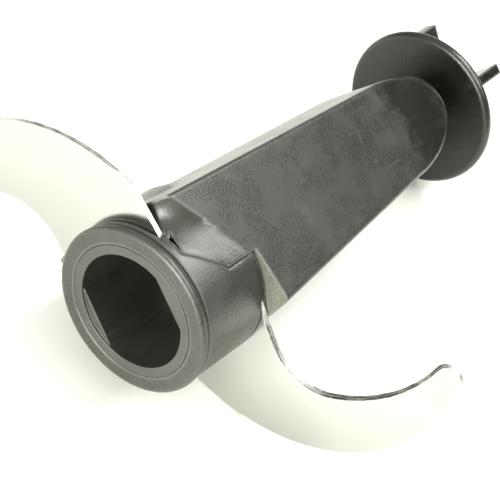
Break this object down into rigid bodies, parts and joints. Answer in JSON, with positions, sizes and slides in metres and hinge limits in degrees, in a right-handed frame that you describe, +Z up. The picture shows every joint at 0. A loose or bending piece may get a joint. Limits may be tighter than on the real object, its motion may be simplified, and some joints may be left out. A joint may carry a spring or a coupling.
{
  "type": "food processor blade",
  "caption": "Two-level cutting blade of a food processor: a tall black tapered body on a round hub with a flatted drive bore, carrying curved steel wings.",
  "frame": {"origin": "middle of the hub's end ring, where the drive bore opens, at the object's lowest plane", "axes": "+Z up the spindle's axis towards the disc and crossed bars, +X square to the flats of the drive bore"},
  "size_m": [0.1208, 0.0976, 0.1338],
  "materials": {
    "black_plastic": "satin moulded plastic, finely speckled",
    "socket_plastic": "satin moulded plastic",
    "blade_steel": "polished and lightly brushed"
  },
  "bodies": {
    "root": {"lower_shell": "black_plastic", "upper_body": "black_plastic", "drive_socket": "socket_plastic", "low_wing": "blade_steel", "high_wing": "blade_steel"}
  },
  "joints": []
}
